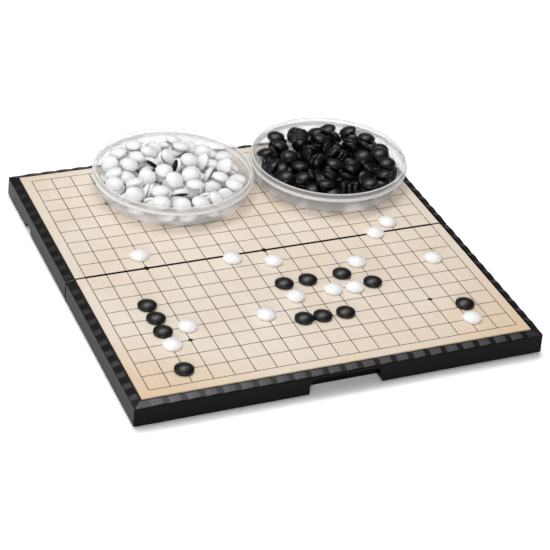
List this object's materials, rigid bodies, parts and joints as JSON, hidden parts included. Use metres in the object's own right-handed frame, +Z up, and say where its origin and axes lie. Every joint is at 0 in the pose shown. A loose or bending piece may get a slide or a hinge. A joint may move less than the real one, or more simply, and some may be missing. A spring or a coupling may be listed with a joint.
{
  "type": "magnetic go board",
  "caption": "Folding magnetic go board: two hinged tray halves with a printed grid over steel, lift-off magnetic stones, and two round bowls of loose stones.",
  "frame": {"origin": "on the table, under the middle of the whole set's box", "axes": "+Z up, +X to the right along the seam, +Y from the front half towards the half that carries the bowls"},
  "size_m": [0.2874, 0.2996, 0.0425],
  "materials": {
    "black_plastic": "moulded ABS, fine texture",
    "sheet_steel": "thin tinned sheet",
    "printed_sheet": "printed with a pale wood grain, satin film",
    "grid_ink": "dark brown ink",
    "pin_steel": "drawn wire",
    "frosted_plastic": "frosted translucent polypropylene",
    "white_stone": "moulded, satin",
    "black_stone": "moulded, satin",
    "magnet": "bare ferrite"
  },
  "bodies": {
    "back_half": {"back_case": "black_plastic", "back_steel_sheet": "sheet_steel", "back_playing_sheet": "printed_sheet", "back_grid_print": "grid_ink", "left_hinge_pin": "pin_steel", "right_hinge_pin": "pin_steel"},
    "front_half": {"front_case": "black_plastic", "front_steel_sheet": "sheet_steel", "front_playing_sheet": "printed_sheet", "front_grid_print": "grid_ink"},
    "white_bowl_set": {"white_bowl": "frosted_plastic", "white_loose_stones": "white_stone", "white_loose_magnets": "magnet"},
    "black_bowl_set": {"black_bowl": "frosted_plastic", "black_loose_stones": "black_stone", "black_loose_magnets": "magnet"},
    "white_stone_01_set": {"white_stone_01": "white_stone", "white_magnet_01": "magnet"},
    "white_stone_02_set": {"white_stone_02": "white_stone", "white_magnet_02": "magnet"},
    "white_stone_03_set": {"white_stone_03": "white_stone", "white_magnet_03": "magnet"},
    "white_stone_04_set": {"white_stone_04": "white_stone", "white_magnet_04": "magnet"},
    "white_stone_05_set": {"white_stone_05": "white_stone", "white_magnet_05": "magnet"},
    "white_stone_06_set": {"white_stone_06": "white_stone", "white_magnet_06": "magnet"},
    "white_stone_07_set": {"white_stone_07": "white_stone", "white_magnet_07": "magnet"},
    "white_stone_08_set": {"white_stone_08": "white_stone", "white_magnet_08": "magnet"},
    "white_stone_09_set": {"white_stone_09": "white_stone", "white_magnet_09": "magnet"},
    "white_stone_10_set": {"white_stone_10": "white_stone", "white_magnet_10": "magnet"},
    "white_stone_11_set": {"white_stone_11": "white_stone", "white_magnet_11": "magnet"},
    "white_stone_12_set": {"white_stone_12": "white_stone", "white_magnet_12": "magnet"},
    "white_stone_13_set": {"white_stone_13": "white_stone", "white_magnet_13": "magnet"},
    "white_stone_14_set": {"white_stone_14": "white_stone", "white_magnet_14": "magnet"},
    "black_stone_01_set": {"black_stone_01": "black_stone"},
    "black_stone_02_set": {"black_stone_02": "black_stone"},
    "black_stone_03_set": {"black_stone_03": "black_stone"},
    "black_stone_04_set": {"black_stone_04": "black_stone"},
    "black_stone_05_set": {"black_stone_05": "black_stone"},
    "black_stone_06_set": {"black_stone_06": "black_stone"},
    "black_stone_07_set": {"black_stone_07": "black_stone"},
    "black_stone_08_set": {"black_stone_08": "black_stone"},
    "black_stone_09_set": {"black_stone_09": "black_stone"},
    "black_stone_10_set": {"black_stone_10": "black_stone"},
    "black_stone_11_set": {"black_stone_11": "black_stone"},
    "black_stone_12_set": {"black_stone_12": "black_stone"}
  },
  "joints": [
    {"name": "fold", "type": "hinge", "parent": "back_half", "child": "front_half", "pos_m": [0, -0.0053, 0.00195], "axis": [1, 0, 0], "range_deg": [0, 180]},
    {"name": "white_bowl_lift", "type": "slide", "parent": "back_half", "child": "white_bowl_set", "axis": [0, 0, 1], "range_m": [0, 0.06]},
    {"name": "black_bowl_lift", "type": "slide", "parent": "back_half", "child": "black_bowl_set", "axis": [0, 0, 1], "range_m": [0, 0.06]},
    {"name": "white_stone_01_lift", "type": "slide", "parent": "back_half", "child": "white_stone_01_set", "axis": [0, 0, 1], "range_m": [0, 0.03]},
    {"name": "white_stone_02_lift", "type": "slide", "parent": "back_half", "child": "white_stone_02_set", "axis": [0, 0, 1], "range_m": [0, 0.03]},
    {"name": "white_stone_03_lift", "type": "slide", "parent": "front_half", "child": "white_stone_03_set", "axis": [0, 0, 1], "range_m": [0, 0.03]},
    {"name": "white_stone_04_lift", "type": "slide", "parent": "front_half", "child": "white_stone_04_set", "axis": [0, 0, 1], "range_m": [0, 0.03]},
    {"name": "white_stone_05_lift", "type": "slide", "parent": "front_half", "child": "white_stone_05_set", "axis": [0, 0, 1], "range_m": [0, 0.03]},
    {"name": "white_stone_06_lift", "type": "slide", "parent": "front_half", "child": "white_stone_06_set", "axis": [0, 0, 1], "range_m": [0, 0.03]},
    {"name": "white_stone_07_lift", "type": "slide", "parent": "front_half", "child": "white_stone_07_set", "axis": [0, 0, 1], "range_m": [0, 0.03]},
    {"name": "white_stone_08_lift", "type": "slide", "parent": "front_half", "child": "white_stone_08_set", "axis": [0, 0, 1], "range_m": [0, 0.03]},
    {"name": "white_stone_09_lift", "type": "slide", "parent": "front_half", "child": "white_stone_09_set", "axis": [0, 0, 1], "range_m": [0, 0.03]},
    {"name": "white_stone_10_lift", "type": "slide", "parent": "front_half", "child": "white_stone_10_set", "axis": [0, 0, 1], "range_m": [0, 0.03]},
    {"name": "white_stone_11_lift", "type": "slide", "parent": "front_half", "child": "white_stone_11_set", "axis": [0, 0, 1], "range_m": [0, 0.03]},
    {"name": "white_stone_12_lift", "type": "slide", "parent": "front_half", "child": "white_stone_12_set", "axis": [0, 0, 1], "range_m": [0, 0.03]},
    {"name": "white_stone_13_lift", "type": "slide", "parent": "front_half", "child": "white_stone_13_set", "axis": [0, 0, 1], "range_m": [0, 0.03]},
    {"name": "white_stone_14_lift", "type": "slide", "parent": "front_half", "child": "white_stone_14_set", "axis": [0, 0, 1], "range_m": [0, 0.03]},
    {"name": "black_stone_01_lift", "type": "slide", "parent": "front_half", "child": "black_stone_01_set", "axis": [0, 0, 1], "range_m": [0, 0.03]},
    {"name": "black_stone_02_lift", "type": "slide", "parent": "front_half", "child": "black_stone_02_set", "axis": [0, 0, 1], "range_m": [0, 0.03]},
    {"name": "black_stone_03_lift", "type": "slide", "parent": "front_half", "child": "black_stone_03_set", "axis": [0, 0, 1], "range_m": [0, 0.03]},
    {"name": "black_stone_04_lift", "type": "slide", "parent": "front_half", "child": "black_stone_04_set", "axis": [0, 0, 1], "range_m": [0, 0.03]},
    {"name": "black_stone_05_lift", "type": "slide", "parent": "front_half", "child": "black_stone_05_set", "axis": [0, 0, 1], "range_m": [0, 0.03]},
    {"name": "black_stone_06_lift", "type": "slide", "parent": "front_half", "child": "black_stone_06_set", "axis": [0, 0, 1], "range_m": [0, 0.03]},
    {"name": "black_stone_07_lift", "type": "slide", "parent": "front_half", "child": "black_stone_07_set", "axis": [0, 0, 1], "range_m": [0, 0.03]},
    {"name": "black_stone_08_lift", "type": "slide", "parent": "front_half", "child": "black_stone_08_set", "axis": [0, 0, 1], "range_m": [0, 0.03]},
    {"name": "black_stone_09_lift", "type": "slide", "parent": "front_half", "child": "black_stone_09_set", "axis": [0, 0, 1], "range_m": [0, 0.03]},
    {"name": "black_stone_10_lift", "type": "slide", "parent": "front_half", "child": "black_stone_10_set", "axis": [0, 0, 1], "range_m": [0, 0.03]},
    {"name": "black_stone_11_lift", "type": "slide", "parent": "front_half", "child": "black_stone_11_set", "axis": [0, 0, 1], "range_m": [0, 0.03]},
    {"name": "black_stone_12_lift", "type": "slide", "parent": "front_half", "child": "black_stone_12_set", "axis": [0, 0, 1], "range_m": [0, 0.03]}
  ]
}
